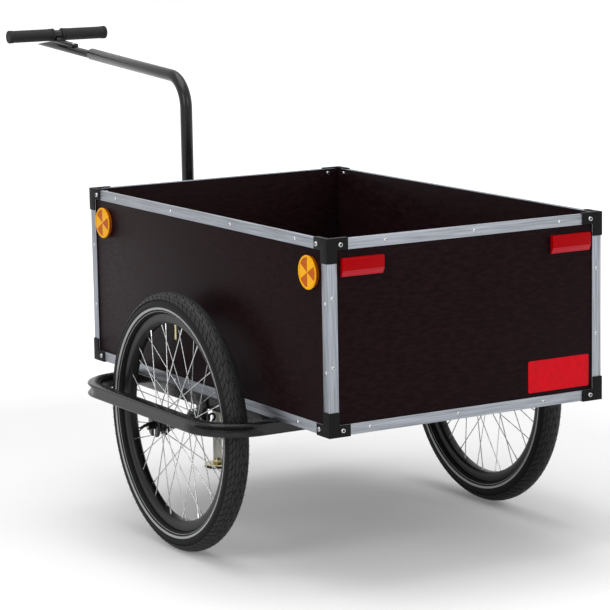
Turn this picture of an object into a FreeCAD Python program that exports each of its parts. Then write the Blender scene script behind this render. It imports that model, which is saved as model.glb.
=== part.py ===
import FreeCAD, Part
import math
import os

# Bicycle cargo trailer. Millimetres; +X is the direction of travel, +Y is left, +Z is up.
# The model is drawn with x = 0 at the axle and z = 0 on the floor, and moved to the record's
# origin (the middle of the outline, on the floor) as each node is saved.

Vec = FreeCAD.Vector
Y_AXIS, Z_AXIS = Vec(0, 1, 0), Vec(0, 0, 1)
CONTACT = 0.05        # radial running clearance of a turning or sliding fit
SEAM = 1.0            # gap left where two lengths of one profile would meet
NEAR = 0.1            # how close an edge lies to the face that it is picked by

# Box: aluminium angle frame round coated plywood panels
BOX_LENGTH = 932.0
BOX_WIDTH = 597.0
BOX_HEIGHT = 353.0
ANGLE_LEG = 20.0
ANGLE_WALL = 2.0
PANEL = 6.5
FLOOR_PANEL = 9.0
CAP_ARM = 43.0
CAP_WALL = 2.0
SIDE_REFLECTOR_R = 31.0
SIDE_REFLECTOR_DEPTH = 8.0
REAR_REFLECTOR = (9.0, 87.0, 34.0)
LABEL = (0.5, 138.0, 60.0)
SIDE_REFLECTOR_IN = 10.0   # bare panel between a round reflector and the post beside it
SIDE_REFLECTOR_DOWN = 13.0
REAR_REFLECTOR_IN = 8.0    # bare panel between a bar reflector and the post beside it
REAR_REFLECTOR_DOWN = 14.0
LABEL_IN = 7.5             # bare panel between the label and the post beside it
LABEL_UP = 8.0

# Wheels
TYRE_R = 250.0
TYRE_SECTION = 47.0
TYRE_WALL = 6.5
TYRE_LIP_DROP = 6.4   # from the tyre's inner edge up to the foot of its sidewall
TYRE_MOUTH = 2.0      # how far the hollow stays above its own lowest point
BEAD_GAP = 0.1        # between a bead and the rim's wall
RIM_HALF = 12.5
RIM_DEPTH = 13.0
RIM_WALL = 2.0
RIM_LIP = 6.0         # height of the rim's side walls above the bead seat
RIM_WELL = 5.0        # depth of the well between the seats
RIM_WELL_HALF = 5.0
RIM_SEAT_Y = 7.5      # inner edge of a bead seat
RIM_SLOPE = 0.5       # how far the sides lean in towards the spokes
HUB_OVER_LOCKNUTS = 100.0
AXLE_R = 5.0
HUB_BODY_R = 11.0
HUB_END_R = 14.0
HUB_FLANGE_R = 22.0
HUB_FLANGE_HALF = 1.5
HUB_FLANGE_Y = 31.0
SPOKE_R = 1.0
SPOKES = 36
SPOKE_CROSS_DEG = 60.0
SPOKE_HOLE_INSET = 3.0
SPOKE_RIM_Y = 4.0
SPOKE_END_GAP = 0.3   # between a spoke's end and the rim
SPOKE_LAYER = 1.0     # extra room that keeps crossing spokes apart
LOCKNUT_R = 8.5
LOCKNUT_LENGTH = 4.5

# Chassis: rectangular tube loops round both wheels, joined under the box
TUBE_HIGH = 25.0
TUBE_WIDE = 25.0
TUBE_WALL = 2.0
TUBE_CORNER = 3.0
GUARD_BEND_R = 90.0
GUARD_AHEAD = 33.0    # clear of the tyre's front
GUARD_BEHIND = 12.0   # clear of the tyre's back
CROSS_BEHIND = 128.0  # rear cross tube's centre behind the axles
REAR_ARM_Y = 180.0    # where a guard's rear arm ends under the box
AXLE_DROP = 46.0      # axle centre below the box's underside
DROPOUT_WALL = 4.0
DROPOUT_WIDE = 40.0
DROPOUT_BELOW_AXLE = 22.0
DROPOUT_TIP = 2.0     # flat left beside the slot at the plate's rounded end
NUT_R = 8.0
INNER_NUT_LENGTH = 12.0
CAM_LENGTH = 13.0
LEVER = (12.0, 22.0, 6.0)

# Drawbar
DRAWBAR_R = 13.0
DRAWBAR_WALL = 2.0
DRAWBAR_BEND_R = 68.0
DRAWBAR_STANDOFF = 134.0   # upright's centre ahead of the box
DRAWBAR_TAIL = 20.0        # drawbar's rear end behind the rear cross tube
UPRIGHT_TOP = 848.0        # where the upright's and the arm's centrelines would cross
ARM_SLOPE_DEG = 3.7
ARM_TUBE_LENGTH = 449.0
COLLAR_LENGTH = 60.0
COLLAR_WALL = 3.0
COLLAR_LIFT = 10.0
SADDLE_WALL = 4.0
SADDLE_EAR = 14.0
COUPLER_R = 9.0
COUPLER_WALL = 2.0
COUPLER_OVERLAP = 120.0
COUPLER_END = 739.0
COUPLER_SCARF = 89.0

# Handle
HANDLE_ALONG_ARM = 632.0
HANDLE_RISE = 24.0
HANDLE_TUBE_R = 11.0
HANDLE_TUBE_WALL = 2.0
GRIP_R = 15.0
GRIP_LENGTH = 116.0
GRIP_GAP = 18.0
GRIP_END_WALL = 4.0
GRIP_END_ROUND = 2.0
STEM_WIDTH = 16.0
STEM_LENGTH = 112.0
STEM_BEHIND_HANDLE = 96.0
STEM_SEAT = 2.0
STEM_CRADLE_RISE = 5.5     # how far the cradle stands up round the handle's tube

# Prop stand
STAND_BEHIND_UPRIGHT = 26.0
STAND_ASIDE = 43.0
STAND_LEG_R = 10.0
STAND_LEG_WALL = 1.5
STAND_LEG_TOP = 480.0
STAND_FOOT_R = 30.0
STAND_PAD = 5.0
STAND_PAD_INSET = 1.0
STAND_PLATE = 2.5
STAND_SOCKET = 9.0
CLAMP_HEIGHT = 40.0
CLAMP_WALL = 5.0
CLAMP_WEB = 14.0
CLAMP_LIFT = 10.0

# Places that follow from the sizes above
AXLE_Z = TYRE_R
HALF_L = BOX_LENGTH / 2
HALF_W = BOX_WIDTH / 2
BOX_Z0 = AXLE_Z + AXLE_DROP
BOX_Z1 = BOX_Z0 + BOX_HEIGHT
FLOOR_TOP = BOX_Z0 + ANGLE_WALL + FLOOR_PANEL
RIM_FLANGE = ANGLE_WALL + PANEL
RAIL_START = ANGLE_LEG + SEAM
GUARD_INNER_Y = HALF_W + CAP_WALL
WHEEL_Y = GUARD_INNER_Y + DROPOUT_WALL + HUB_OVER_LOCKNUTS / 2
GUARD_OUTER_Y = WHEEL_Y + HUB_OVER_LOCKNUTS / 2 + DROPOUT_WALL
GUARD_FRONT_X = TYRE_R + GUARD_AHEAD + TUBE_WIDE / 2
GUARD_REAR_X = -(TYRE_R + GUARD_BEHIND + TUBE_WIDE / 2)
CROSS_REAR_X = -CROSS_BEHIND
TUBE_MID_Z = BOX_Z0 - TUBE_HIGH / 2
RIM_R = TYRE_R - TYRE_SECTION
DRAWBAR_X = HALF_L + DRAWBAR_STANDOFF
DRAWBAR_Z = BOX_Z0 - TUBE_HIGH - DRAWBAR_R
UPRIGHT_START = DRAWBAR_Z + DRAWBAR_BEND_R
CLAMP_Z = UPRIGHT_START + CLAMP_LIFT
COLLAR_Z = CLAMP_Z + CLAMP_HEIGHT + COLLAR_LIFT
DRAWBAR_SPLIT = COLLAR_Z + COLLAR_LENGTH / 2
STAND_X = DRAWBAR_X - STAND_BEHIND_UPRIGHT
COUPLER_DROP = DRAWBAR_R - DRAWBAR_WALL - COUPLER_R
SLOPE = math.radians(ARM_SLOPE_DEG)
FRONT_X = DRAWBAR_X + COUPLER_END * math.cos(SLOPE) + (COUPLER_DROP + COUPLER_R) * math.sin(SLOPE)
REAR_X = -(HALF_L - ANGLE_WALL) - REAR_REFLECTOR[0]
ORIGIN_X = (FRONT_X + REAR_X) / 2


def block(x0, x1, y0, y1, z0, z1):
    low = Vec(min(x0, x1), min(y0, y1), min(z0, z1))
    return Part.makeBox(abs(x1 - x0), abs(y1 - y0), abs(z1 - z0), low)


def rod(radius, start, end):
    return Part.makeCylinder(radius, (end - start).Length, start, end - start)


def joined(solids):
    return solids[0].multiFuse(solids[1:]).removeSplitter() if len(solids) > 1 else solids[0]


def ring(inner_r, outer_r, start, end):
    return rod(outer_r, start, end).cut(rod(inner_r, start, end))


def save(node, solids):
    shape = Part.makeCompound([solid.copy() for solid in solids])
    shape.translate(Vec(-ORIGIN_X, 0, 0))
    shape.exportStep("parts/" + node + ".step")


def bent_path(points, radius):
    """A wire through the points, each corner rounded to the radius."""
    edges = []
    start = points[0]
    for before, corner, after in zip(points, points[1:], points[2:]):
        into = (corner - before).normalize()
        out = (after - corner).normalize()
        turn = into.getAngle(out)
        setback = radius * math.tan(turn / 2)
        arc_start = corner - into * setback
        arc_end = corner + out * setback
        to_centre = (out - into).normalize()
        arc_mid = corner + to_centre * (radius / math.cos(turn / 2) - radius)
        edges.append(Part.makeLine(start, arc_start))
        edges.append(Part.Arc(arc_start, arc_mid, arc_end).toShape())
        start = arc_end
    edges.append(Part.makeLine(start, points[-1]))
    return Part.Wire(edges)


def swept(path, profile):
    return path.makePipeShell([profile], True, False)


def round_tube(points, bend_radius, outer_r, wall):
    path = bent_path(points, bend_radius)
    direction = points[1] - points[0]
    outer = Part.Wire(Part.makeCircle(outer_r, points[0], direction))
    inner = Part.Wire(Part.makeCircle(outer_r - wall, points[0], direction))
    return swept(path, outer).cut(swept(path, inner))


def tube_profile(wide, high, corner):
    """Rounded rectangle in the XZ plane, centred on the origin."""
    face = block(-wide / 2, wide / 2, 0, 1, -high / 2, high / 2)
    upright_edges = [edge for edge in face.Edges if abs(edge.tangentAt(0).y) > 0.5]
    rounded = face.makeFillet(corner, upright_edges)
    return min(rounded.Faces, key=lambda side: side.CenterOfMass.y).OuterWire


def frame_tube(start, end):
    """Straight hollow rectangular tube, level, with its tall sides upright."""
    along = end - start
    shell = []
    for shrink in (0.0, TUBE_WALL):
        profile = tube_profile(TUBE_WIDE - 2 * shrink, TUBE_HIGH - 2 * shrink, TUBE_CORNER - shrink)
        profile.rotate(Vec(), Z_AXIS, math.degrees(math.atan2(along.y, along.x)) - 90)
        profile.translate(start)
        shell.append(Part.Face(profile).extrude(along))
    return shell[0].cut(shell[1])


def mirrored_in_y(solid):
    return solid.mirror(Vec(), Y_AXIS)


def both_sides(solid):
    return [solid, mirrored_in_y(solid)]


def corners():
    return [(sx, sy) for sx in (1, -1) for sy in (1, -1)]


# Box

def floor_panel():
    x = HALF_L - RIM_FLANGE
    y = HALF_W - RIM_FLANGE
    return block(-x, x, -y, y, BOX_Z0 + ANGLE_WALL, FLOOR_TOP)


def side_panel(side):
    x = HALF_L - ANGLE_WALL
    outer = side * (HALF_W - ANGLE_WALL)
    return block(-x, x, outer - side * PANEL, outer, BOX_Z0 + ANGLE_WALL, BOX_Z1 - ANGLE_WALL)


def end_panel(end):
    y = HALF_W - RIM_FLANGE
    outer = end * (HALF_L - ANGLE_WALL)
    return block(outer - end * PANEL, outer, -y, y, BOX_Z0 + ANGLE_WALL, BOX_Z1 - ANGLE_WALL)


def angle_rail(half_length, reach, face_z, toward_z, lap):
    """Angle along X whose upright leg faces +Y; its level leg, at face_z, laps inwards."""
    leg = block(-half_length, half_length, reach - ANGLE_WALL, reach, face_z, face_z + toward_z * ANGLE_LEG)
    level = block(-half_length, half_length, reach - lap, reach, face_z, face_z + toward_z * ANGLE_WALL)
    return joined([leg, level])


def four_rails(face_z, toward_z, lap):
    rails = []
    for turn in (0, 90, 180, 270):
        along, reach = (HALF_L, HALF_W) if turn % 180 == 0 else (HALF_W, HALF_L)
        rail = angle_rail(along - RAIL_START, reach, face_z, toward_z, lap)
        rail.rotate(Vec(), Z_AXIS, turn)
        rails.append(rail)
    return rails


def corner_post(sx, sy):
    x, y = sx * HALF_L, sy * HALF_W
    side_leg = block(x, x - sx * ANGLE_LEG, y, y - sy * ANGLE_WALL, BOX_Z0, BOX_Z1)
    end_leg = block(x, x - sx * ANGLE_WALL, y, y - sy * ANGLE_LEG, BOX_Z0, BOX_Z1)
    return joined([side_leg, end_leg])


def corner_cap(sx, sy, face_z, toward_z, lap):
    """Three-armed plastic cap over the outside of one box corner."""
    x, y = sx * HALF_L, sy * HALF_W
    out_x, out_y = x + sx * CAP_WALL, y + sy * CAP_WALL
    out_z = face_z - toward_z * CAP_WALL
    long_x, long_y = x - sx * CAP_ARM, y - sy * CAP_ARM
    short_x, short_y = x - sx * ANGLE_LEG, y - sy * ANGLE_LEG
    lap_x, lap_y = x - sx * lap, y - sy * lap
    long_z, short_z = face_z + toward_z * CAP_ARM, face_z + toward_z * ANGLE_LEG
    return joined([
        block(out_x, long_x, out_y, y, out_z, short_z),
        block(out_x, short_x, out_y, y, out_z, long_z),
        block(out_x, x, out_y, long_y, out_z, short_z),
        block(out_x, x, out_y, short_y, out_z, long_z),
        block(out_x, long_x, out_y, lap_y, out_z, face_z),
        block(out_x, lap_x, out_y, long_y, out_z, face_z),
    ])


def side_reflector(sx, sy):
    x = sx * (HALF_L - ANGLE_LEG - SIDE_REFLECTOR_IN - SIDE_REFLECTOR_R)
    y = sy * (HALF_W - ANGLE_WALL)
    z = BOX_Z1 - ANGLE_LEG - SIDE_REFLECTOR_DOWN - SIDE_REFLECTOR_R
    face = Vec(x, y + sy * SIDE_REFLECTOR_DEPTH, z)
    return rod(SIDE_REFLECTOR_R, Vec(x, y, z), face)


def rear_reflector():
    depth, wide, high = REAR_REFLECTOR
    x = -(HALF_L - ANGLE_WALL)
    y = HALF_W - ANGLE_LEG - REAR_REFLECTOR_IN
    z = BOX_Z1 - ANGLE_LEG - REAR_REFLECTOR_DOWN
    solid = block(x - depth, x, y - wide, y, z - high, z)
    outer_edges = [edge for edge in solid.Edges if edge.CenterOfMass.x < x - depth + NEAR]
    return solid.makeChamfer(depth / 3, outer_edges)


def rear_label():
    depth, wide, high = LABEL
    x = -(HALF_L - ANGLE_WALL)
    y = -(HALF_W - ANGLE_LEG - LABEL_IN)
    z = BOX_Z0 + ANGLE_LEG + LABEL_UP
    return block(x - depth, x, y, y + wide, z, z + high)


# Chassis

def guard_rail():
    """Left wheel guard: a U of rectangular tube, its arms running in under the box's side."""
    inner_end = GUARD_INNER_Y - TUBE_WIDE
    rail_y = GUARD_OUTER_Y + TUBE_WIDE / 2
    points = [Vec(GUARD_FRONT_X, inner_end, TUBE_MID_Z), Vec(GUARD_FRONT_X, rail_y, TUBE_MID_Z),
              Vec(GUARD_REAR_X, rail_y, TUBE_MID_Z), Vec(GUARD_REAR_X, REAR_ARM_Y, TUBE_MID_Z)]
    path = bent_path(points, GUARD_BEND_R)
    shell = []
    for shrink in (0.0, TUBE_WALL):
        profile = tube_profile(TUBE_WIDE - 2 * shrink, TUBE_HIGH - 2 * shrink, TUBE_CORNER - shrink)
        profile.translate(points[0])
        shell.append(swept(path, profile))
    return shell[0].cut(shell[1])


def cross_tube(x):
    y = GUARD_INNER_Y - TUBE_WIDE
    return frame_tube(Vec(x, -y, TUBE_MID_Z), Vec(x, y, TUBE_MID_Z))


def inner_rail():
    half = TUBE_WIDE / 2
    y = GUARD_INNER_Y - half
    return frame_tube(Vec(GUARD_REAR_X + half, y, TUBE_MID_Z), Vec(GUARD_FRONT_X - half, y, TUBE_MID_Z))


def dropout(y):
    """Plate on the side of a guard tube, slotted from below for the axle."""
    half = DROPOUT_WIDE / 2
    top = BOX_Z0 - TUBE_CORNER
    low = AXLE_Z - DROPOUT_BELOW_AXLE
    plate = block(-half, half, y, y + DROPOUT_WALL, low, top)
    low_edges = [edge for edge in plate.Edges
                 if edge.CenterOfMass.z < low + NEAR and abs(edge.tangentAt(0).y) > 0.5]
    plate = plate.makeFillet(half - AXLE_R - DROPOUT_TIP, low_edges)
    slot_r = AXLE_R + CONTACT
    slot = block(-slot_r, slot_r, y, y + DROPOUT_WALL, low, AXLE_Z)
    eye = rod(slot_r, Vec(0, y, AXLE_Z), Vec(0, y + DROPOUT_WALL, AXLE_Z))
    return plate.cut(joined([slot, eye]))


def dropouts():
    return [dropout(GUARD_INNER_Y), dropout(GUARD_OUTER_Y - DROPOUT_WALL)]


def on_axle(radius, y0, y1):
    return rod(radius, Vec(0, y0, AXLE_Z), Vec(0, y1, AXLE_Z))


def axle():
    inner_face = WHEEL_Y - HUB_OVER_LOCKNUTS / 2
    outer_face = WHEEL_Y + HUB_OVER_LOCKNUTS / 2
    shaft = on_axle(AXLE_R, GUARD_INNER_Y - INNER_NUT_LENGTH, GUARD_OUTER_Y + CAM_LENGTH)
    inner_nut = on_axle(LOCKNUT_R, inner_face, inner_face + LOCKNUT_LENGTH)
    outer_nut = on_axle(LOCKNUT_R, outer_face - LOCKNUT_LENGTH, outer_face)
    return joined([shaft, inner_nut, outer_nut])


def quick_release():
    inner_nut = on_axle(NUT_R, GUARD_INNER_Y - INNER_NUT_LENGTH, GUARD_INNER_Y)
    cam = on_axle(NUT_R, GUARD_OUTER_Y, GUARD_OUTER_Y + CAM_LENGTH)
    wide, reach, thick = LEVER
    lever_y = GUARD_OUTER_Y + CAM_LENGTH
    lever = block(-wide / 2, wide / 2, lever_y - thick / 2, lever_y + reach, AXLE_Z - thick, AXLE_Z)
    bore = on_axle(AXLE_R, GUARD_INNER_Y - INNER_NUT_LENGTH, lever_y)
    return [inner_nut.cut(bore), joined([cam, lever]).cut(bore)]


# Wheel, drawn on the left axle

def turned(points):
    """Ring turned about the wheel's axis from (radius, offset from the wheel's middle) points."""
    outline = [Vec(0, WHEEL_Y + y, AXLE_Z + r) for r, y in points]
    face = Part.Face(Part.makePolygon(outline + outline[:1]))
    return face.revolve(Vec(0, WHEEL_Y, AXLE_Z), Y_AXIS, 360)


def rim():
    seat = RIM_R
    lip = seat + RIM_LIP
    base = seat - RIM_DEPTH
    inside = RIM_HALF - RIM_WALL
    half = [(seat - RIM_WELL, RIM_WELL_HALF), (seat, RIM_SEAT_Y), (seat, inside), (lip, inside),
            (lip, RIM_HALF), (base + RIM_LIP, RIM_HALF - RIM_SLOPE), (base, RIM_SEAT_Y)]
    other = [(r, -y) for r, y in reversed(half)]
    return turned(half + other)


def tyre():
    """Open-bottomed tyre: round outside, hollow inside, two beads standing in the rim."""
    outer_r = TYRE_SECTION / 2
    inner_r = outer_r - TYRE_WALL
    middle = Vec(0, WHEEL_Y, AXLE_Z + TYRE_R - outer_r)
    bead_y = RIM_HALF - RIM_WALL - BEAD_GAP
    lip_drop = outer_r - TYRE_LIP_DROP
    heel_y = math.sqrt(outer_r ** 2 - lip_drop ** 2)
    mouth_drop = inner_r - TYRE_MOUTH
    mouth_y = math.sqrt(inner_r ** 2 - mouth_drop ** 2)

    def at(y, drop):
        return middle + Vec(0, y, -drop)

    outer = Part.Arc(at(-heel_y, lip_drop), at(0, -outer_r), at(heel_y, lip_drop)).toShape()
    inner = Part.Arc(at(mouth_y, mouth_drop), at(0, -inner_r), at(-mouth_y, mouth_drop)).toShape()
    right = [at(heel_y, lip_drop), at(bead_y, lip_drop), at(bead_y, outer_r), at(mouth_y, outer_r),
             at(mouth_y, mouth_drop)]
    left = [at(-mouth_y, mouth_drop), at(-mouth_y, outer_r), at(-bead_y, outer_r),
            at(-bead_y, lip_drop), at(-heel_y, lip_drop)]
    edges = [outer] + Part.makePolygon(right).Edges + [inner] + Part.makePolygon(left).Edges
    return Part.Face(Part.Wire(edges)).revolve(Vec(0, WHEEL_Y, AXLE_Z), Y_AXIS, 360)


def hub():
    end = HUB_OVER_LOCKNUTS / 2 - LOCKNUT_LENGTH - SEAM
    bore = AXLE_R + CONTACT
    flange_in = HUB_FLANGE_Y - HUB_FLANGE_HALF
    flange_out = HUB_FLANGE_Y + HUB_FLANGE_HALF
    half = [(bore, end), (HUB_END_R, end), (HUB_END_R, flange_out), (HUB_FLANGE_R, flange_out),
            (HUB_FLANGE_R, flange_in), (HUB_BODY_R, flange_in)]
    other = [(r, -y) for r, y in reversed(half)]
    return turned(half + other)


def spoke(flange, hole_deg, outside):
    """Spoke from one side of a hub flange, running on round the wheel to the rim."""
    hole_r = HUB_FLANGE_R - SPOKE_HOLE_INSET
    rim_r = RIM_R - RIM_DEPTH - SPOKE_END_GAP
    turn = SPOKE_CROSS_DEG if outside else -SPOKE_CROSS_DEG
    beside = HUB_FLANGE_HALF + SPOKE_R + 2 * CONTACT
    start_y = flange * (HUB_FLANGE_Y + (beside + SPOKE_LAYER if outside else -beside))
    hole_angle = math.radians(hole_deg)
    rim_angle = math.radians(hole_deg + turn)
    start = Vec(hole_r * math.cos(hole_angle), WHEEL_Y + start_y, AXLE_Z + hole_r * math.sin(hole_angle))
    end = Vec(rim_r * math.cos(rim_angle), WHEEL_Y + flange * SPOKE_RIM_Y,
              AXLE_Z + rim_r * math.sin(rim_angle))
    return rod(SPOKE_R, start, end)


def spokes():
    per_flange = SPOKES // 2
    pitch = 360.0 / per_flange
    solids = []
    for flange, shift in ((1, 0.0), (-1, pitch / 2)):
        for number in range(per_flange):
            solids.append(spoke(flange, number * pitch + shift, number % 2 == 0))
    return solids


# Drawbar and handle

def drawbar_lower():
    tail_x = CROSS_REAR_X - TUBE_WIDE / 2 - DRAWBAR_TAIL
    points = [Vec(tail_x, 0, DRAWBAR_Z), Vec(DRAWBAR_X, 0, DRAWBAR_Z), Vec(DRAWBAR_X, 0, DRAWBAR_SPLIT)]
    return round_tube(points, DRAWBAR_BEND_R, DRAWBAR_R, DRAWBAR_WALL)


def arm_point(along, rise):
    """Point in the arm's own directions, from where its centreline crosses the upright's."""
    x = DRAWBAR_X + along * math.cos(SLOPE) - rise * math.sin(SLOPE)
    z = UPRIGHT_TOP + along * math.sin(SLOPE) + rise * math.cos(SLOPE)
    return Vec(x, 0, z)


def drawbar_upper():
    points = [Vec(DRAWBAR_X, 0, DRAWBAR_SPLIT), arm_point(0, 0), arm_point(ARM_TUBE_LENGTH, 0)]
    return round_tube(points, DRAWBAR_BEND_R, DRAWBAR_R, DRAWBAR_WALL)


def drawbar_collar():
    return ring(DRAWBAR_R, DRAWBAR_R + COLLAR_WALL, Vec(DRAWBAR_X, 0, COLLAR_Z),
                Vec(DRAWBAR_X, 0, COLLAR_Z + COLLAR_LENGTH))


def drawbar_saddle(x):
    """U strap that holds the drawbar up against the underside of a cross tube."""
    x0 = x - TUBE_WIDE / 2
    x1 = x0 + TUBE_WIDE
    top = BOX_Z0 - TUBE_HIGH
    reach = DRAWBAR_R + SADDLE_WALL
    cheeks = block(x0, x1, -reach, reach, DRAWBAR_Z, top)
    ears = block(x0, x1, -reach - SADDLE_EAR, reach + SADDLE_EAR, top - SADDLE_WALL, top)
    bowl = rod(reach, Vec(x0, 0, DRAWBAR_Z), Vec(x1, 0, DRAWBAR_Z))
    bore = rod(DRAWBAR_R, Vec(x0, 0, DRAWBAR_Z), Vec(x1, 0, DRAWBAR_Z))
    mouth = block(x0, x1, -DRAWBAR_R, DRAWBAR_R, DRAWBAR_Z, top)
    below = block(x0, x1, -reach, reach, DRAWBAR_Z - reach, DRAWBAR_Z)
    return joined([cheeks, ears, bowl.common(below)]).cut(joined([bore, mouth]))


def on_arm(solid):
    """Turn and move a solid drawn along X at the origin on to the arm."""
    solid.rotate(Vec(), Y_AXIS, -ARM_SLOPE_DEG)
    solid.translate(arm_point(0, 0))
    return solid


def coupling_tube():
    """Thin tube in the arm's mouth, its open end cut to a long slant."""
    start = ARM_TUBE_LENGTH - COUPLER_OVERLAP
    tube = ring(COUPLER_R - COUPLER_WALL, COUPLER_R, Vec(start, 0, -COUPLER_DROP),
                Vec(COUPLER_END, 0, -COUPLER_DROP))
    top = COUPLER_R - COUPLER_DROP
    low = -COUPLER_R - COUPLER_DROP
    corners_xz = [(COUPLER_END, low), (COUPLER_END - COUPLER_SCARF, top),
                  (COUPLER_END - COUPLER_SCARF, top + COUPLER_R), (COUPLER_END + COUPLER_R, top + COUPLER_R),
                  (COUPLER_END + COUPLER_R, low)]
    outline = [Vec(x, -2 * COUPLER_R, z) for x, z in corners_xz]
    waste = Part.Face(Part.makePolygon(outline + outline[:1])).extrude(Vec(0, 4 * COUPLER_R, 0))
    return on_arm(tube.cut(waste))


def handle_stem():
    """Strap lying along the coupling tube, with a cradle under the handle's tube."""
    top = COUPLER_R - COUPLER_DROP
    strap_top = HANDLE_RISE - HANDLE_TUBE_R
    half = STEM_WIDTH / 2
    start = HANDLE_ALONG_ARM - STEM_BEHIND_HANDLE
    strap = block(start, start + STEM_LENGTH, -half, half, top - STEM_SEAT, strap_top)
    cradle = block(HANDLE_ALONG_ARM - STEM_WIDTH, HANDLE_ALONG_ARM + STEM_WIDTH, -half, half,
                   top - STEM_SEAT, strap_top + STEM_CRADLE_RISE)
    tube = rod(COUPLER_R, Vec(0, 0, -COUPLER_DROP), Vec(COUPLER_END, 0, -COUPLER_DROP))
    bar = rod(HANDLE_TUBE_R, Vec(HANDLE_ALONG_ARM, -STEM_WIDTH, HANDLE_RISE),
              Vec(HANDLE_ALONG_ARM, STEM_WIDTH, HANDLE_RISE))
    return on_arm(joined([strap, cradle]).cut(tube).cut(bar))


def grip_end():
    return GRIP_GAP / 2 + GRIP_LENGTH


def handle_point(y):
    point = arm_point(HANDLE_ALONG_ARM, HANDLE_RISE)
    return Vec(point.x, y, point.z)


def handle_bar():
    half = grip_end() - GRIP_END_WALL
    inner_r = HANDLE_TUBE_R - HANDLE_TUBE_WALL
    return ring(inner_r, HANDLE_TUBE_R, handle_point(-half), handle_point(half))


def grip():
    body = rod(GRIP_R, handle_point(GRIP_GAP / 2), handle_point(grip_end()))
    outer_edges = [edge for edge in body.Edges if edge.CenterOfMass.y > grip_end() - NEAR]
    body = body.makeFillet(GRIP_END_ROUND, outer_edges)
    bore = rod(HANDLE_TUBE_R, handle_point(GRIP_GAP / 2), handle_point(grip_end() - GRIP_END_WALL))
    return body.cut(bore)


# Prop stand

def stand_point(z):
    return Vec(STAND_X, -STAND_ASIDE, z)


def stand_clamp():
    """Casting gripping the upright, with a bore beside it for the leg."""
    low, high = CLAMP_Z, CLAMP_Z + CLAMP_HEIGHT
    upright = rod(DRAWBAR_R + CLAMP_WALL, Vec(DRAWBAR_X, 0, low), Vec(DRAWBAR_X, 0, high))
    sleeve = rod(STAND_LEG_R + CLAMP_WALL, stand_point(low), stand_point(high))
    span = math.hypot(STAND_BEHIND_UPRIGHT, STAND_ASIDE)
    web = block(0, span, -CLAMP_WEB / 2, CLAMP_WEB / 2, low, high)
    web.rotate(Vec(), Z_AXIS, math.degrees(math.atan2(STAND_ASIDE, STAND_BEHIND_UPRIGHT)))
    web.translate(stand_point(0))
    body = joined([upright, sleeve, web])
    bores = [rod(DRAWBAR_R, Vec(DRAWBAR_X, 0, low), Vec(DRAWBAR_X, 0, high)),
             rod(STAND_LEG_R + CONTACT, stand_point(low), stand_point(high))]
    return body.cut(bores[0]).cut(bores[1])


def stand_leg():
    start = STAND_PAD + STAND_PLATE + STAND_SOCKET
    return ring(STAND_LEG_R - STAND_LEG_WALL, STAND_LEG_R, stand_point(start), stand_point(STAND_LEG_TOP))


def stand_foot():
    plate_top = STAND_PAD + STAND_PLATE
    plate = rod(STAND_FOOT_R, stand_point(STAND_PAD), stand_point(plate_top))
    socket = rod(STAND_LEG_R, stand_point(plate_top), stand_point(plate_top + STAND_SOCKET))
    return joined([plate, socket])


def stand_pad():
    return rod(STAND_FOOT_R - STAND_PAD_INSET, stand_point(0), stand_point(STAND_PAD))


def build():
    os.makedirs("parts", exist_ok=True)
    save("floor_panel", [floor_panel()])
    for name, side in (("left", 1), ("right", -1)):
        save("side_panel_" + name, [side_panel(side)])
    for name, end, tube_x in (("front", 1, GUARD_FRONT_X), ("rear", -1, CROSS_REAR_X)):
        save("end_panel_" + name, [end_panel(end)])
        save("cross_tube_" + name, [cross_tube(tube_x)])
    save("top_rails", four_rails(BOX_Z1, -1, RIM_FLANGE))
    save("bottom_rails", four_rails(BOX_Z0, 1, ANGLE_LEG))
    save("corner_posts", [corner_post(sx, sy) for sx, sy in corners()])
    save("top_corner_caps", [corner_cap(sx, sy, BOX_Z1, -1, RIM_FLANGE) for sx, sy in corners()])
    save("bottom_corner_caps", [corner_cap(sx, sy, BOX_Z0, 1, ANGLE_LEG) for sx, sy in corners()])
    save("side_reflectors", [side_reflector(sx, sy) for sx, sy in corners()])
    save("rear_reflectors", both_sides(rear_reflector()))
    save("rear_label", [rear_label()])

    left_only = {
        "guard_rail": [guard_rail()], "inner_rail": [inner_rail()], "dropouts": dropouts(),
        "axle": [axle()], "quick_release": quick_release(), "tyre": [tyre()], "rim": [rim()],
        "hub": [hub()], "spokes": spokes(), "grip": [grip()],
    }
    for name, solids in left_only.items():
        save(name + "_left", solids)
        save(name + "_right", [mirrored_in_y(solid) for solid in solids])

    save("drawbar_lower", [drawbar_lower()])
    save("drawbar_upper", [drawbar_upper()])
    save("drawbar_collar", [drawbar_collar()])
    save("drawbar_saddles", [drawbar_saddle(x) for x in (GUARD_FRONT_X, CROSS_REAR_X)])
    save("coupling_tube", [coupling_tube()])
    save("handle_stem", [handle_stem()])
    save("handle_bar", [handle_bar()])
    save("stand_clamp", [stand_clamp()])
    save("stand_leg", [stand_leg()])
    save("stand_foot", [stand_foot()])
    save("stand_pad", [stand_pad()])


build()
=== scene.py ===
import math

import bmesh
import bpy
from mathutils import Matrix, Vector


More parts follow.
